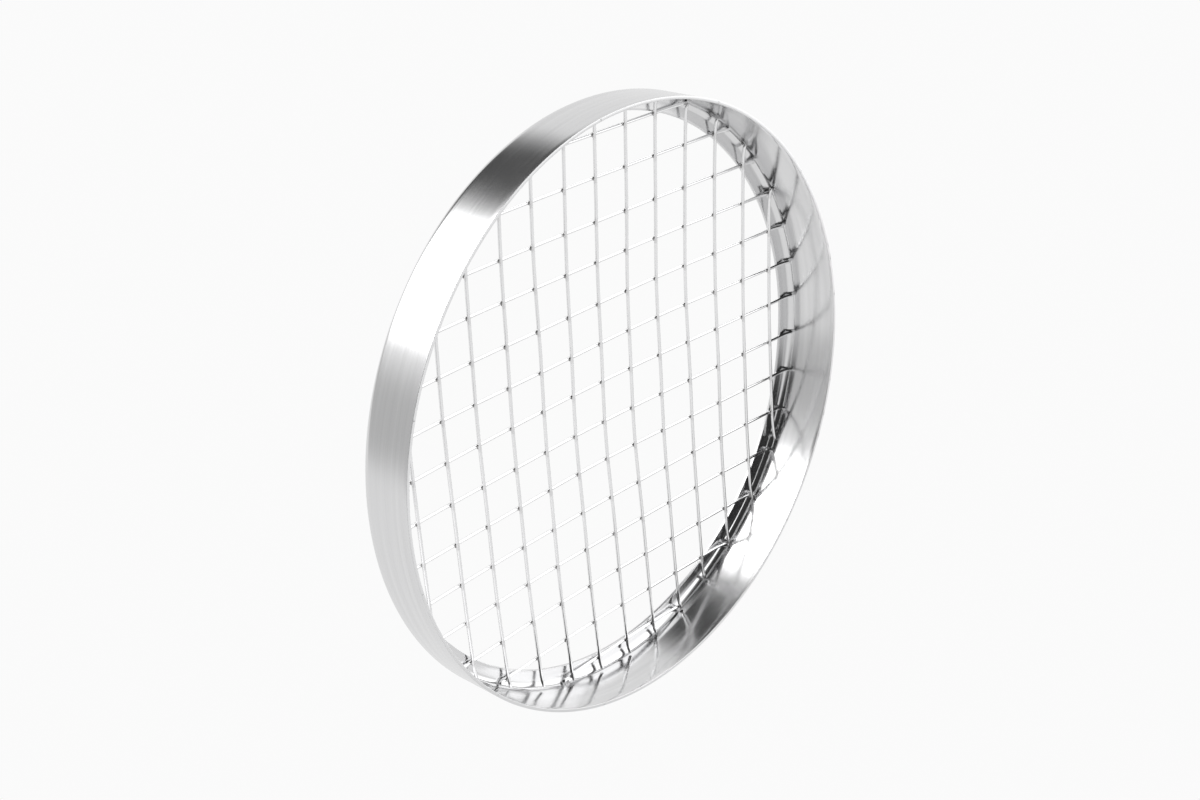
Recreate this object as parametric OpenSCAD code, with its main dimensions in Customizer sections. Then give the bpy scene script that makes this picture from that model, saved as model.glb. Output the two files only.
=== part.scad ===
// A round rack: a ring of thin sheet with an inward flange, and a welded wire mesh that
// lies against the flange from inside. The ring stands on its open rim, so the flange
// and the mesh are on top. Z is the ring's axis and the open rim is at z = 0.

/* [Ring] */
// Outside diameter of the ring
ring_d = 158; // [156:0.5:160]
// Height from the open rim to the outside face of the flange
ring_h = 16; // [12:0.5:20]
// Thickness of the sheet
sheet_t = 0.8; // [0.6:0.1:1]
// Inside radius of the bend between the wall and the flange
bend_r = 2; // [1.8:0.1:2.5]
// Width of the flange, from the outside of the ring to the edge of its hole
flange_w = 5.5; // [5:0.1:7]

/* [Mesh] */
// Diameter of the wire
wire_d = 0.9; // [0.8:0.05:1]
// Distance between the middles of two neighbouring wires
mesh_pitch = 11; // [11:0.5:13]
// How far the mesh is off the middle of the ring along X
mesh_shift_x = 1.5; // [-2:0.5:2]
// How far the mesh is off the middle of the ring along Y
mesh_shift_y = 2.4; // [-2.4:0.1:2.4]
// Gap between the ends of the wires and the inside of the wall
end_gap = 0.7; // [0.7:0.1:1.2]
// How far the middle of the mesh stands above its edge
mesh_rise = 2.8; // [0:0.1:4]
// How far the bend between the wall and the flange pushes the ends of the wires down
end_droop = 0.8; // [0.8:0.05:1.2]
// Clearance between the upper wires and the inside face of the flange
seat_gap = 0.04; // [0.04:0.01:0.2]
// Clearance between the two layers of wires
layer_gap = 0.1; // [0.1:0.01:0.2]

/* [Hidden] */
ring_r = ring_d / 2;
hole_r = ring_r - flange_w;
flat_r = ring_r - sheet_t - bend_r;
mesh_r = ring_r - sheet_t - end_gap;

// The outermost wires still lie on the flat part of the flange
last_wire = flat_r - wire_d;
lower_count = 2 * floor(last_wire / mesh_pitch) + 1;
upper_count = 2 * floor(last_wire / mesh_pitch + 0.5);

// Heights of the middles of the two layers, at the edge of the flange's hole
upper_z = ring_h - sheet_t - seat_gap - wire_d / 2;
lower_z = upper_z - wire_d - layer_gap;

wire_sides = 8;
steps_per_pitch = 2;
step = mesh_pitch / steps_per_pitch;
ring_fn = 180;

function two_digits(i) = str(i < 10 ? "0" : "", i);
function lower_name(i) = str("lower_wire_", two_digits(i));
function upper_name(i) = str("upper_wire_", two_digits(i));

// Place of wire i of a layer, with the whole mesh off the middle by shift
function wire_place(i, count, shift) = (i - (count + 1) / 2) * mesh_pitch + shift;

// Half the length of the chord that the mesh's round outline leaves at a place
function reach(place) = sqrt(pow(mesh_r, 2) - pow(place, 2));

// How far a layer stands above its edge: a dome inside the hole, and ends that droop outside
function mesh_lift(r) = r < hole_r
    ? mesh_rise * (1 - pow(r / hole_r, 2))
    : -end_droop * pow((r - hole_r) / (mesh_r - hole_r), 2);

// The ring: a wall, a flange and the round bend that joins them
module ring_section() {
    outer_bend = bend_r + sheet_t;
    translate([ring_r - sheet_t, 0])
        square([sheet_t, ring_h - outer_bend]);
    translate([hole_r, ring_h - sheet_t])
        square([flange_w - outer_bend, sheet_t]);
    translate([ring_r - outer_bend, ring_h - outer_bend])
        intersection() {
            difference() {
                circle(r = outer_bend, $fn = 64);
                circle(r = bend_r, $fn = 64);
            }
            square(outer_bend);
        }
}

module flanged_ring() {
    color([0.78, 0.78, 0.79])
        rotate_extrude($fn = ring_fn)
            ring_section();
}

// A wire along X at y = place, whose middle has height z at the edge of the flange's hole.
// It is welded to another wire at x = crossing and at every pitch from there.
module straight_wire(place, z, crossing) {
    end = reach(place);
    inner_steps = [for (k = [-100:100])
        let (s = crossing + k * step)
        if (abs(s) < end - step / 4) s];
    steps = concat([-end], inner_steps, [end]);

    corner_r = wire_d / 2 / cos(180 / wire_sides);
    points = [for (s = steps, k = [0:wire_sides - 1])
        let (angle = (k + 0.5) * 360 / wire_sides)
        [s, place + corner_r * cos(angle), z + mesh_lift(norm([s, place])) + corner_r * sin(angle)]];
    walls = [for (i = [0:len(steps) - 2], k = [0:wire_sides - 1])
        let (a = i * wire_sides, b = a + wire_sides, next = (k + 1) % wire_sides)
        [a + k, b + k, b + next, a + next]];
    near_end = [for (k = [0:wire_sides - 1]) k];
    far_end = [for (k = [1:wire_sides]) len(points) - k];
    polyhedron(points, concat([near_end, far_end], walls), convexity = 8);
}

// Lower wires run along Y. The quarter turn takes a wire at y = place to x = -place.
module lower_wire(i) {
    place = wire_place(i, lower_count, mesh_shift_x);
    color([0.86, 0.86, 0.87])
        rotate([0, 0, 90])
            straight_wire(-place, lower_z, mesh_shift_y + mesh_pitch / 2);
}

// Upper wires run along X and lie against the flange
module upper_wire(i) {
    place = wire_place(i, upper_count, mesh_shift_y);
    color([0.82, 0.82, 0.83])
        straight_wire(place, upper_z, mesh_shift_x);
}

flanged_ring();
for (i = [1:lower_count]) lower_wire(i);
for (i = [1:upper_count]) upper_wire(i);
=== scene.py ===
"""Looks of the round rack: a bright sheet-steel ring and its welded mesh of straight wires.

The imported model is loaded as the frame. The ring and each wire are built again as smooth meshes at
the places that the frame gives, and the faceted CAD solids are hidden behind them.
Lengths are millimetres up to the moment a mesh is made; Blender works in metres.
"""

import math
import random

import bpy
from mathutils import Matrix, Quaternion, Vector


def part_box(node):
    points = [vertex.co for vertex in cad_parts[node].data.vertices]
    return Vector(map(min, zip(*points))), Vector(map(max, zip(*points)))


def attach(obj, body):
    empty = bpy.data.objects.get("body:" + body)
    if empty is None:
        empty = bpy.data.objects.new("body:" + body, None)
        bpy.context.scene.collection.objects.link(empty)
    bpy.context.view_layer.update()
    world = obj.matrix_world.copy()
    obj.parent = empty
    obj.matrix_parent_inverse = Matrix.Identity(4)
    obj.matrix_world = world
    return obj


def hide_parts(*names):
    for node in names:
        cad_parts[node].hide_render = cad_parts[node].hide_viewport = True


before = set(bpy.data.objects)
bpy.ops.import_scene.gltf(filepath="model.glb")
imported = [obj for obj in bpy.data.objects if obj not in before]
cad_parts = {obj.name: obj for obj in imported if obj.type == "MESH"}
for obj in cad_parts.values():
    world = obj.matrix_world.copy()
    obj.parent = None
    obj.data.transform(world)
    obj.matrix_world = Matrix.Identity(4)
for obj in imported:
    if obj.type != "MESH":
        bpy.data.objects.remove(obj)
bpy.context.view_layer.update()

MM = 0.001

# Sizes that the frame's boxes don't show: the ring's section and the mesh's dome
SHEET_T = 0.8
BEND_R = 2.0
FLANGE_W = 5.5
MESH_RISE = 2.8
END_DROOP = 0.8

# Radius that the cut edges of the sheet are worn to
SHEET_EDGE_R = 0.09

# How far the two layers of wires sink into each other where they are welded
WELD_SINK = 0.16

# How fine the smooth meshes are: faces round the ring, round a wire and round a weld bead, and
# faces along each stretch of the ring's section
RING_SIDES = 720
WIRE_SIDES = 20
BEAD_SIDES = 16
BEAD_ROWS = 6
EDGE_STEPS = 4
BEND_STEPS = 20
WALL_STEPS = 10
FLANGE_STEPS = 5

# Length of a step along a wire
WIRE_STEP = 1.2

# Unevenness of the ring: (waves in a full turn, height of the wave, phase)
WALL_WAVES = ((3, 0.030, 0.4), (7, 0.016, 1.9), (12, 0.010, 4.0), (19, 0.005, 2.6), (31, 0.003, 5.2))
FLANGE_WAVES = ((6, 0.020, 1.1), (17, 0.012, 0.3))

# How far a wire may be laid off its place, lean along its length, and bow with its own slow wave
LAID_OFFSET = 0.28
LAID_SLOPE = 0.0025
LAID_BOW = (0.04, 0.12)
LAID_WAVE = 0.055

# The sheared end of a wire: its worn edge, and how much the cut may lean
END_CHAMFER = 0.07
END_LEAN = 0.10

# A weld bead's radius and half its height, as shares of the wire's diameter
BEAD_WIDE = (0.68, 0.78)
BEAD_HIGH = (0.24, 0.30)

# Seeds of the random draws: a wire adds its number to the seed of its layer
LOWER_SEED = 100
UPPER_SEED = 200
BEAD_SEED = 404

# The camera looks up at the open side.
CAMERA_AZIMUTH = -56.74
CAMERA_ELEVATION = -39.73
CAMERA_ROLL = -71.0
CAMERA_DISTANCE = 414.9
CAMERA_AIM = (-8.8, -4.9, 8.0)
CAMERA_LENS = 50.0

FULL_TURN = 2 * math.pi


# ---------------------------------------------------------------- sizes from the frame


def box_mm(node):
    """Lowest and highest corner of a CAD node, in millimetres."""
    low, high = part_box(node)
    return low / MM, high / MM


def nodes_of(prefix):
    """The CAD nodes whose names start with prefix, in order."""
    return sorted(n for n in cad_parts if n.startswith(prefix))


LOWER_NODES = nodes_of("lower_wire_")
UPPER_NODES = nodes_of("upper_wire_")

ring_low, ring_high = box_mm("flanged_ring")
RING_R = (ring_high.x - ring_low.x) / 2
RING_H = ring_high.z
HOLE_R = RING_R - FLANGE_W
FLAT_R = RING_R - SHEET_T - BEND_R


def place_of(node, axis):
    """Where a wire's middle line lies, across its length."""
    low, high = box_mm(node)
    return (low[axis] + high[axis]) / 2


lower_places = [place_of(n, 0) for n in LOWER_NODES]
upper_places = [place_of(n, 1) for n in UPPER_NODES]
PITCH = (lower_places[-1] - lower_places[0]) / (len(lower_places) - 1)
first_low, first_high = box_mm(LOWER_NODES[0])
WIRE_D = first_high.x - first_low.x
middle_node = UPPER_NODES[len(UPPER_NODES) // 2]
_, middle_high = box_mm(middle_node)
MESH_R = math.hypot(middle_high.x, place_of(middle_node, 1))

# The upper layer touches the flange, and the lower layer is welded under it
UPPER_Z = RING_H - SHEET_T - WIRE_D / 2
LOWER_Z = UPPER_Z - WIRE_D + WELD_SINK


# ---------------------------------------------------------------- meshes


def add_mesh(name, points, faces, material, flat_faces=()):
    """A smooth-shaded mesh object from points in millimetres. The faces in flat_faces stay flat."""
    mesh = bpy.data.meshes.new(name)
    mesh.from_pydata([Vector(p) * MM for p in points], [], faces)
    flat = set(flat_faces)
    mesh.polygons.foreach_set("use_smooth", [i not in flat for i in range(len(faces))])
    mesh.materials.append(material)
    mesh.validate()
    mesh.update()
    piece = bpy.data.objects.new(name, mesh)
    bpy.context.scene.collection.objects.link(piece)
    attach(piece, "root")
    return piece


def arc(centre, radius, start, end, steps):
    """Points on an arc in the (radius, height) plane, from start to end in degrees."""
    angles = [math.radians(start + (end - start) * i / steps) for i in range(steps + 1)]
    return [(centre[0] + radius * math.cos(a), centre[1] + radius * math.sin(a)) for a in angles]


def line(start, end, steps):
    """Points between start and end, without either of them."""
    return [
        tuple(a + (b - a) * i / steps for a, b in zip(start, end))
        for i in range(1, steps)
    ]


def ring_outline():
    """The ring's section as (radius, height) points, counterclockwise from the rim's inner edge."""
    edge_r = SHEET_EDGE_R
    inner_r = RING_R - SHEET_T
    bend = (FLAT_R, RING_H - SHEET_T - BEND_R)
    outer_bend_r = BEND_R + SHEET_T
    rim_inside = arc((inner_r + edge_r, edge_r), edge_r, 180, 270, EDGE_STEPS)
    rim = rim_inside + arc((RING_R - edge_r, edge_r), edge_r, 270, 360, EDGE_STEPS)
    outer_bend = arc(bend, outer_bend_r, 0, 90, BEND_STEPS)
    hole_top = arc((HOLE_R + edge_r, RING_H - edge_r), edge_r, 90, 180, EDGE_STEPS)
    hole_bottom = arc((HOLE_R + edge_r, RING_H - SHEET_T + edge_r), edge_r, 180, 270, EDGE_STEPS)
    hole_edge = hole_top + hole_bottom
    inner_bend = arc(bend, BEND_R, 90, 0, BEND_STEPS)
    return (
        rim
        + line(rim[-1], outer_bend[0], WALL_STEPS)
        + outer_bend
        + line(outer_bend[-1], hole_edge[0], FLANGE_STEPS)
        + hole_edge
        + line(hole_edge[-1], inner_bend[0], FLANGE_STEPS)
        + inner_bend
        + line(inner_bend[-1], rim[0], WALL_STEPS)
    )


def ripple(angle, waves):
    """Sum of the waves round the ring, at an angle."""
    return sum(size * math.sin(count * angle + phase) for count, size, phase in waves)


def wall_ripple(angle, height):
    """How far the formed sheet is off a true circle, outwards. Slanting waves run up the wall."""
    left_slant = 0.006 * math.sin(5 * angle + 0.35 * height)
    right_slant = 0.004 * math.sin(14 * angle - 0.5 * height)
    return ripple(angle, WALL_WAVES) + (left_slant + right_slant)


def build_ring(material):
    """The ring is its section turned about Z, with the small unevenness of formed sheet."""
    outline = ring_outline()
    points = []
    for i in range(RING_SIDES):
        angle = FULL_TURN * i / RING_SIDES
        for radius, height in outline:
            share = min(1.0, max(0.0, (RING_R - radius) / FLANGE_W))
            out = radius + wall_ripple(angle, height) * (1 - share)
            up = height + ripple(angle, FLANGE_WAVES) * share
            points.append((out * math.cos(angle), out * math.sin(angle), up))
    count = len(outline)
    faces = []
    for i in range(RING_SIDES):
        j = (i + 1) % RING_SIDES
        for k in range(count):
            m = (k + 1) % count
            faces.append((i * count + k, j * count + k, j * count + m, i * count + m))
    piece = add_mesh("ring", points, faces, material)
    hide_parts("flanged_ring")


def mesh_lift(r):
    """How far the mesh stands above its edge: a dome inside the hole, drooping ends outside."""
    if r < HOLE_R:
        return MESH_RISE * (1 - (r / HOLE_R) ** 2)
    return -END_DROOP * ((r - HOLE_R) / (MESH_R - HOLE_R)) ** 2


def dent(x, y):
    """How far a point of the mesh is pushed up or down by handling."""
    inside = max(0.0, 1 - (math.hypot(x, y) / HOLE_R) ** 2)
    wide_wave = 0.26 * math.sin(0.07 * x + 0.05 * y + 0.9)
    short_wave = 0.16 * math.sin(0.13 * y - 0.06 * x)
    return inside * (wide_wave + short_wave)


def mesh_point(x, y, layer_z):
    """A point on the middle surface of a layer of wires."""
    return Vector((x, y, layer_z + mesh_lift(math.hypot(x, y)) + dent(x, y)))


def laid_line(place, seed):
    """A function from a point along a wire to its place across, for a wire laid a little off."""
    chance = random.Random(seed)
    offset = chance.uniform(-LAID_OFFSET, LAID_OFFSET)
    slope = chance.uniform(-LAID_SLOPE, LAID_SLOPE)
    bow = chance.uniform(*LAID_BOW)
    phase = chance.uniform(0, FULL_TURN)
    return lambda s: place + offset + slope * s + bow * math.sin(LAID_WAVE * s + phase)


def wire_path(across, begin, end, layer_z, along_x):
    """Points on the middle line of a wire. across gives its place for each point along it."""
    count = round((end - begin) / WIRE_STEP)
    path = []
    for i in range(count + 1):
        s = begin + (end - begin) * i / count
        x, y = (s, across(s)) if along_x else (across(s), s)
        path.append(mesh_point(x, y, layer_z))
    return path


def build_wire(name, path, material, seed):
    """A round wire along a path, with its ends cut by shears."""
    sides = WIRE_SIDES
    chance = random.Random(seed)
    radius = WIRE_D / 2
    square_cut = Vector((0, 0, 0))
    points, faces = [], []

    def add_loop(centre, tangent, size, cut):
        """A circle of points across the wire, tilted by the slope of the cut."""
        side = tangent.cross(Vector((0, 0, 1))).normalized()
        top = side.cross(tangent)
        for k in range(sides):
            a = FULL_TURN * k / sides
            out = side * math.cos(a) + top * math.sin(a)
            points.append(centre + size * out + tangent * cut.dot(out))

    def cut_plane():
        """How the sheared end leans, as the slope across the wire."""
        return Vector([chance.uniform(-END_LEAN, END_LEAN) for _ in range(3)])

    start_cut = cut_plane()
    end_cut = cut_plane()
    tangents = [
        (path[min(i + 1, len(path) - 1)] - path[max(i - 1, 0)]).normalized()
        for i in range(len(path))
    ]
    start, end = tangents[0], tangents[-1]
    loops = [
        (path[0], start, radius - END_CHAMFER, start_cut),
        (path[0] + start * END_CHAMFER, start, radius, start_cut),
        *((p, t, radius, square_cut) for p, t in zip(path[1:-1], tangents[1:-1])),
        (path[-1] - end * END_CHAMFER, end, radius, end_cut),
        (path[-1], end, radius - END_CHAMFER, end_cut),
    ]
    for loop in loops:
        add_loop(*loop)
    for i in range(len(loops) - 1):
        for k in range(sides):
            a, b = i * sides + k, i * sides + (k + 1) % sides
            faces.append((a, b, b + sides, a + sides))
    near_end = list(range(sides))[::-1]
    far_end = [len(points) - sides + k for k in range(sides)]
    caps = [len(faces), len(faces) + 1]
    faces += [near_end, far_end]
    return add_mesh(name, points, faces, material, caps)


def build_layer(nodes, places, along_x, layer_z, material, first_seed):
    """One layer of parallel wires. Returns the line that each of them is laid on."""
    laid = []
    along = 0 if along_x else 1
    for i, node in enumerate(nodes):
        low, high = box_mm(node)
        across = laid_line(places[i], first_seed + i)
        path = wire_path(across, low[along], high[along], layer_z, along_x)
        wire = build_wire(f"round_{node}", path, material, first_seed + i)
        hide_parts(node)
        laid.append(across)
    return laid


def build_welds(lower_laid, upper_laid, material):
    """A flat, slightly three-cornered bead of squeezed-out metal at each crossing."""
    rows, around = BEAD_ROWS, BEAD_SIDES
    chance = random.Random(BEAD_SEED)
    points, faces = [], []
    for lower in lower_laid:
        for upper in upper_laid:
            y = upper(lower(0))
            x = lower(y)
            if math.hypot(x, y) > MESH_R - WIRE_D:
                continue
            centre = mesh_point(x, y, (UPPER_Z + LOWER_Z) / 2)
            wide = WIRE_D * chance.uniform(*BEAD_WIDE)
            high = WIRE_D * chance.uniform(*BEAD_HIGH)
            turn = chance.uniform(0, FULL_TURN)
            base = len(points)
            for row in range(rows + 1):
                tilt = math.pi * (row / rows - 0.5)
                for k in range(around):
                    a = FULL_TURN * k / around
                    out = wide * math.cos(tilt) * (1 + 0.10 * math.sin(3 * a + turn))
                    up = high * math.sin(tilt)
                    points.append(centre + Vector((out * math.cos(a), out * math.sin(a), up)))
            for row in range(rows):
                for k in range(around):
                    a, b = base + row * around + k, base + row * around + (k + 1) % around
                    faces.append((a, b, b + around, a + around))
    add_mesh("weld_beads", points, faces, material)


# ---------------------------------------------------------------- materials


class Nodes:
    """Short calls for building a node tree."""

    def __init__(self, tree):
        self.tree = tree
        tree.nodes.clear()

    def add(self, kind, **settings):
        node = self.tree.nodes.new(kind)
        for key, value in settings.items():
            setattr(node, key, value)
        return node

    def link(self, output, target):
        self.tree.links.new(output, target)

    def feed(self, socket, value):
        """Sets a socket to a number, or links it to another socket."""
        if isinstance(value, bpy.types.NodeSocket):
            self.link(value, socket)
        else:
            socket.default_value = value

    def math(self, operation, *values):
        node = self.add("ShaderNodeMath", operation=operation)
        for socket, value in zip(node.inputs, values):
            self.feed(socket, value)
        return node.outputs[0]

    def vector(self, x, y, z):
        node = self.add("ShaderNodeCombineXYZ")
        for socket, value in zip(node.inputs, (x, y, z)):
            self.feed(socket, value)
        return node.outputs[0]

    def noise(self, vector, scale=1.0, detail=3.0):
        node = self.add("ShaderNodeTexNoise")
        self.link(vector, node.inputs["Vector"])
        node.inputs["Scale"].default_value = scale
        node.inputs["Detail"].default_value = detail
        node.inputs["Roughness"].default_value = 0.55
        return node.outputs["Fac"]

    def between(self, value, low, high, to_low=0.0, to_high=1.0):
        """value from low..high brought smoothly to to_low..to_high."""
        node = self.add("ShaderNodeMapRange", interpolation_type="SMOOTHSTEP")
        for socket, number in zip(node.inputs, (value, low, high, to_low, to_high)):
            self.feed(socket, number)
        return node.outputs[0]

    def ramp(self, value, *stops):
        """value turned into a colour by two stops, each (position, colour)."""
        node = self.add("ShaderNodeValToRGB")
        self.link(value, node.inputs[0])
        for element, (position, colour) in zip(node.color_ramp.elements, stops):
            element.position = position
            element.color = (*colour, 1)
        return node.outputs[0]

    def bump(self, shader, height, strength, distance_mm):
        """Fine relief on the shader's surface."""
        node = self.add("ShaderNodeBump")
        node.inputs["Strength"].default_value = strength
        node.inputs["Distance"].default_value = distance_mm * MM
        self.link(height, node.inputs["Height"])
        self.link(node.outputs[0], shader.inputs["Normal"])

    def position(self):
        """A point of the piece, in metres."""
        return self.add("ShaderNodeTexCoord").outputs["Object"]

    def split(self, vector):
        """The sockets x, y and z of a vector."""
        parts = self.add("ShaderNodeSeparateXYZ")
        self.link(vector, parts.inputs[0])
        return parts.outputs


def new_metal(name, anisotropy=0.0):
    """(material, nodes helper, shader) of a metal whose other sockets are still free."""
    material = bpy.data.materials.new(name)
    material.use_nodes = True
    nodes = Nodes(material.node_tree)
    shader = nodes.add("ShaderNodeBsdfPrincipled")
    output = nodes.add("ShaderNodeOutputMaterial")
    nodes.link(shader.outputs[0], output.inputs["Surface"])
    shader.inputs["Metallic"].default_value = 1.0
    shader.inputs["Anisotropic"].default_value = anisotropy
    return material, nodes, shader


def ring_steel():
    """Sheet brushed round the ring: fine scratches that follow the wall, the bend and the flange."""
    material, nodes, shader = new_metal("ring_steel", anisotropy=0.45)
    place = nodes.position()
    x, y, z = nodes.split(place)
    x_squared, y_squared = nodes.math("MULTIPLY", x, x), nodes.math("MULTIPLY", y, y)
    radius = nodes.math("SQRT", nodes.math("ADD", x_squared, y_squared))
    across = nodes.math("SUBTRACT", z, radius)

    def brushed(along_scale, across_scale, detail):
        """Noise drawn out round the ring, so that it looks like brush marks."""
        vector = nodes.vector(
            nodes.math("MULTIPLY", x, along_scale),
            nodes.math("MULTIPLY", y, along_scale),
            nodes.math("MULTIPLY", across, across_scale),
        )
        return nodes.noise(vector, detail=detail)

    fine = brushed(28.0, 5200.0, 3.0)
    broad = brushed(9.0, 620.0, 2.0)
    cloud = nodes.noise(place, scale=38.0, detail=4.0)

    # Cut edges: the rim that it stands on, and the edge of the hole
    rim = nodes.between(z, 0.25 * MM, 0.05 * MM)
    hole_edge = nodes.between(radius, (HOLE_R + 0.30) * MM, (HOLE_R + 0.08) * MM)
    cut_edge = nodes.math("MAXIMUM", rim, hole_edge)

    tone = nodes.math("ADD", nodes.math("MULTIPLY", fine, 0.35), nodes.math("MULTIPLY", broad, 0.65))
    colour = nodes.ramp(tone, (0.30, (0.69, 0.69, 0.695)), (0.70, (0.78, 0.78, 0.785)))
    nodes.link(colour, shader.inputs["Base Color"])

    streaks = nodes.between(fine, 0.25, 0.75, 0.10, 0.17)
    smudges = nodes.between(cloud, 0.35, 0.75, 0.0, 0.06)
    worn = nodes.math("MULTIPLY", cut_edge, 0.18)
    roughness = nodes.math("ADD", nodes.math("ADD", streaks, smudges), worn)
    nodes.link(roughness, shader.inputs["Roughness"])

    height = nodes.math("ADD", fine, nodes.math("MULTIPLY", broad, 0.35))
    nodes.bump(shader, height, strength=0.14, distance_mm=0.02)

    round_z = nodes.add("ShaderNodeTangent", direction_type="RADIAL", axis="Z")
    nodes.link(round_z.outputs[0], shader.inputs["Tangent"])
    return material


def wire_steel(name, along_x):
    """Bright drawn wire: fine lines along its length, and painted shade where the wires cross and
    are welded.
    """
    material, nodes, shader = new_metal(name)
    place = nodes.position()
    x, y, z = nodes.split(place)
    slow, quick = 60.0, 6500.0
    lines = nodes.noise(
        nodes.vector(
            nodes.math("MULTIPLY", x, slow if along_x else quick),
            nodes.math("MULTIPLY", y, quick if along_x else slow),
            nodes.math("MULTIPLY", z, quick),
        )
    )
    patches = nodes.noise(place, scale=260.0, detail=3.0)

    def near_wires(position, wire_place):
        """1 on the middle line of a family of wires, falling off on both sides."""
        offset = nodes.math("SUBTRACT", position, wire_place * MM)
        angle = nodes.math("MULTIPLY", offset, FULL_TURN / (PITCH * MM))
        return nodes.between(nodes.math("COSINE", angle), 0.72, 0.985)

    near_lower, near_upper = near_wires(x, lower_places[0]), near_wires(y, upper_places[0])
    crossing = nodes.math("MULTIPLY", near_lower, near_upper)
    # Painted shade: a patchy mask at each crossing, where the colour is darkened to stand for the
    # contact shade between the wires. The same spots are also made rougher.
    painted_crossing_shade = nodes.math("MULTIPLY", crossing, nodes.between(patches, 0.25, 0.6, 0.45, 1.0))

    bright = nodes.ramp(lines, (0.30, (0.80, 0.80, 0.805)), (0.70, (0.89, 0.89, 0.895)))
    colour = nodes.add("ShaderNodeMix", data_type="RGBA")
    nodes.link(nodes.math("MULTIPLY", painted_crossing_shade, 0.22), colour.inputs["Factor"])
    nodes.link(bright, colour.inputs["A"])
    # The dark colour of the painted shade at the crossings
    colour.inputs["B"].default_value = (0.38, 0.37, 0.365, 1)
    nodes.link(colour.outputs["Result"], shader.inputs["Base Color"])

    handled = nodes.between(patches, 0.3, 0.7, 0.10, 0.18)
    roughness = nodes.math("ADD", handled, nodes.math("MULTIPLY", painted_crossing_shade, 0.15))
    nodes.link(roughness, shader.inputs["Roughness"])
    nodes.bump(shader, lines, strength=0.15, distance_mm=0.02)
    return material


def weld_steel():
    """Metal that a weld has squeezed out: rougher than the wire, tinted by the heat, and darkened
    further to paint the shade where the wires cross.
    """
    material, nodes, shader = new_metal("weld_steel")
    place = nodes.position()
    grain = nodes.noise(place, scale=2600.0, detail=3.0)
    heat = nodes.noise(place, scale=420.0, detail=2.0)
    # Painted shade: the bead's colour is darker than heat tint alone, so that the beads show as dark
    # spots of shade where the wires cross.
    heat_tint_and_shade = nodes.ramp(heat, (0.35, (0.20, 0.195, 0.19)), (0.65, (0.38, 0.375, 0.37)))
    nodes.link(heat_tint_and_shade, shader.inputs["Base Color"])
    nodes.link(nodes.between(grain, 0.3, 0.7, 0.28, 0.45), shader.inputs["Roughness"])
    nodes.bump(shader, grain, strength=0.4, distance_mm=0.03)
    return material


# ---------------------------------------------------------------- studio

# Width of the floor, in metres
FLOOR_WIDTH = 3.2

# How bright the background is to the camera: a little off white, so that white wires show
BACKDROP = 0.96

# How bright the studio's tent is, and the panels painted over it, in this order. Each panel is the
# bearing of its middle and half its width, in degrees from +X towards +Y; the sines of its lowest
# and highest elevation; and how bright it is.
TENT = 1.1
PANELS = (
    (235, 50, -1.0, 0.4, 0.05),  # dark side, where the camera stands
    (330, 35, -1.0, 0.4, 2.2),  # white board
    (180, 5, 0.4, 1.0, 0.7),  # grey card
    (235, 10, 0.4, 0.9, 5.0),  # key light
    (285, 5, 0.4, 0.9, 0.1),  # black flag
)

# How wide the soft edge of a panel is: in degrees at its sides, in the sine at its top and bottom
PANEL_EDGE = 20
PANEL_EDGE_SINE = 0.1

# Grey tone of the tent and the panels, which multiplies their brightness
STUDIO_TONE = (0.8, 0.8, 0.8, 1)


def build_floor():
    """A pale floor under the open rim. It shows from above only, because the camera looks up."""
    half = FLOOR_WIDTH / 2
    mesh = bpy.data.meshes.new("floor")
    corners = [(-half, -half, 0), (half, -half, 0), (half, half, 0), (-half, half, 0)]
    mesh.from_pydata(corners, [], [(0, 1, 2, 3)])
    floor = bpy.data.objects.new("floor", mesh)
    bpy.context.scene.collection.objects.link(floor)

    material = bpy.data.materials.new("floor_pale")
    material.use_nodes = True
    nodes = Nodes(material.node_tree)
    pale = nodes.add("ShaderNodeBsdfDiffuse")
    pale.inputs["Color"].default_value = (0.80, 0.80, 0.80, 1)
    clear = nodes.add("ShaderNodeBsdfTransparent")
    side = nodes.add("ShaderNodeNewGeometry")
    either = nodes.add("ShaderNodeMixShader")
    nodes.link(side.outputs["Backfacing"], either.inputs["Fac"])
    nodes.link(pale.outputs[0], either.inputs[1])
    nodes.link(clear.outputs[0], either.inputs[2])
    output = nodes.add("ShaderNodeOutputMaterial")
    nodes.link(either.outputs[0], output.inputs["Surface"])
    mesh.materials.append(material)

    # The studio's light reaches the object from below as well, as if the floor weren't there
    floor.visible_glossy = False
    floor.visible_diffuse = False
    floor.visible_transmission = False
    floor.visible_shadow = False


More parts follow.
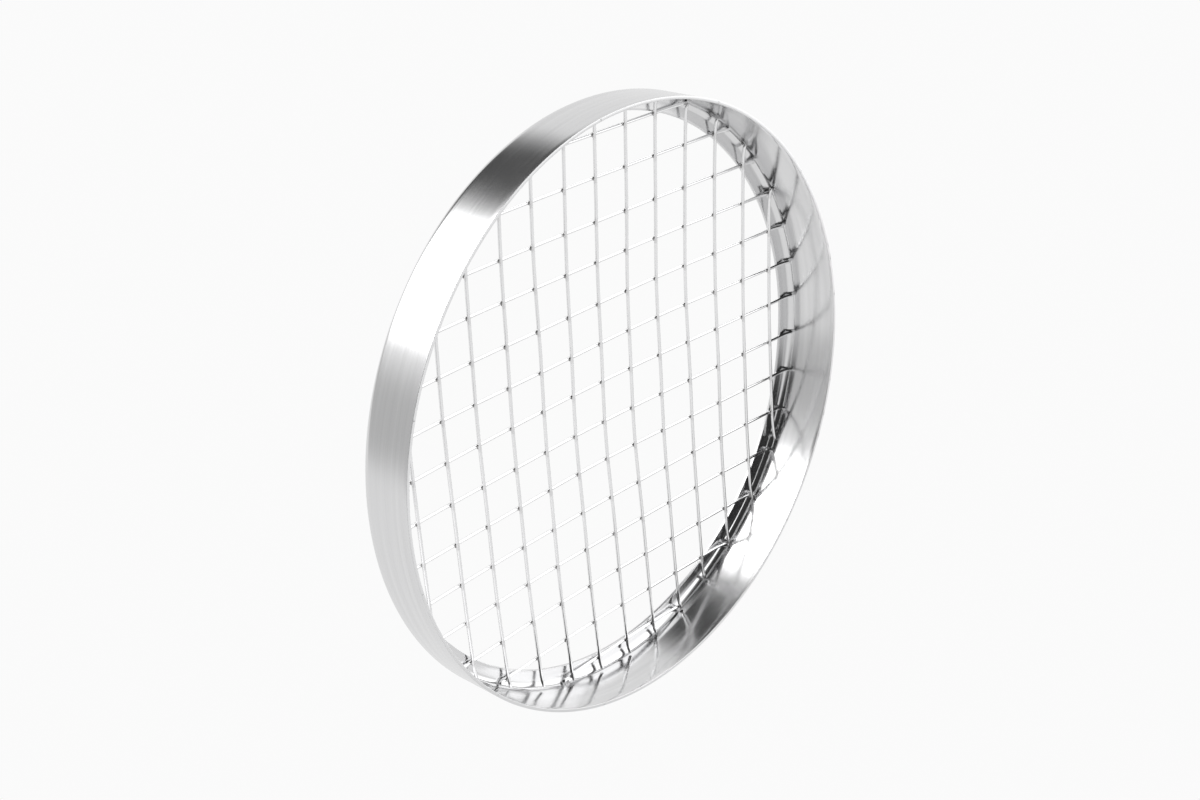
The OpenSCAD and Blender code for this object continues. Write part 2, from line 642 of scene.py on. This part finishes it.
def build_studio():
    """Soft light from all round: a white tent, a key light, and cards that the metal reflects."""
    world = bpy.data.worlds.new("studio")
    bpy.context.scene.world = world
    world.use_nodes = True
    nodes = Nodes(world.node_tree)
    direction = nodes.add("ShaderNodeTexCoord")
    x, y, z = nodes.split(direction.outputs["Generated"])
    level_length = nodes.math("SQRT", nodes.math("SUBTRACT", 1.0, nodes.math("MULTIPLY", z, z)))

    def cover(bearing, half_width, lowest, highest):
        """1 inside a panel and 0 outside it, with soft edges."""
        middle = math.radians(bearing)
        along_x = nodes.math("MULTIPLY", x, math.cos(middle))
        along_y = nodes.math("MULTIPLY", y, math.sin(middle))
        towards = nodes.math("ADD", along_x, along_y)
        outside = math.cos(math.radians(half_width + PANEL_EDGE))
        inside = math.cos(math.radians(half_width))
        wide = nodes.between(nodes.math("DIVIDE", towards, level_length), outside, inside)
        over = nodes.between(z, lowest - PANEL_EDGE_SINE, lowest)
        under = nodes.between(z, highest + PANEL_EDGE_SINE, highest)
        return nodes.math("MULTIPLY", wide, nodes.math("MULTIPLY", over, under))

    brightness = TENT
    for bearing, half_width, lowest, highest, level in PANELS:
        change = nodes.math("SUBTRACT", level, brightness)
        share = cover(bearing, half_width, lowest, highest)
        brightness = nodes.math("ADD", brightness, nodes.math("MULTIPLY", share, change))

    light = nodes.add("ShaderNodeBackground")
    nodes.link(brightness, light.inputs["Strength"])
    light.inputs["Color"].default_value = STUDIO_TONE
    backdrop = nodes.add("ShaderNodeBackground")
    backdrop.inputs["Strength"].default_value = BACKDROP
    backdrop.inputs["Color"].default_value = (1, 1, 1, 1)
    ray = nodes.add("ShaderNodeLightPath")
    either = nodes.add("ShaderNodeMixShader")
    nodes.link(ray.outputs["Is Camera Ray"], either.inputs["Fac"])
    nodes.link(light.outputs[0], either.inputs[1])
    nodes.link(backdrop.outputs[0], either.inputs[2])
    output = nodes.add("ShaderNodeOutputWorld")
    nodes.link(either.outputs[0], output.inputs["Surface"])


def build_camera():
    """The camera stands low on the open side and looks up, turned about its own line of sight."""
    azimuth, elevation = math.radians(CAMERA_AZIMUTH), math.radians(CAMERA_ELEVATION)
    back = Vector((
        math.sin(azimuth) * math.cos(elevation),
        -math.cos(azimuth) * math.cos(elevation),
        math.sin(elevation),
    ))
    lens = bpy.data.cameras.new("camera")
    lens.lens = CAMERA_LENS
    lens.sensor_width = 36.0
    lens.clip_start, lens.clip_end = 0.01, 10.0
    camera = bpy.data.objects.new("camera", lens)
    bpy.context.scene.collection.objects.link(camera)
    level = (-back).to_track_quat("-Z", "Y")
    camera.rotation_mode = "QUATERNION"
    camera.rotation_quaternion = Quaternion(back, math.radians(CAMERA_ROLL)) @ level
    camera.location = (Vector(CAMERA_AIM) + back * CAMERA_DISTANCE) * MM
    bpy.context.scene.camera = camera


# ---------------------------------------------------------------- the scene

bpy.context.scene.view_settings.view_transform = "Standard"
build_camera()
build_studio()
build_floor()
build_ring(ring_steel())
lower_steel, upper_steel = wire_steel("lower_steel", False), wire_steel("upper_steel", True)
lower_laid = build_layer(LOWER_NODES, lower_places, False, LOWER_Z, lower_steel, LOWER_SEED)
upper_laid = build_layer(UPPER_NODES, upper_places, True, UPPER_Z, upper_steel, UPPER_SEED)
build_welds(lower_laid, upper_laid, weld_steel())
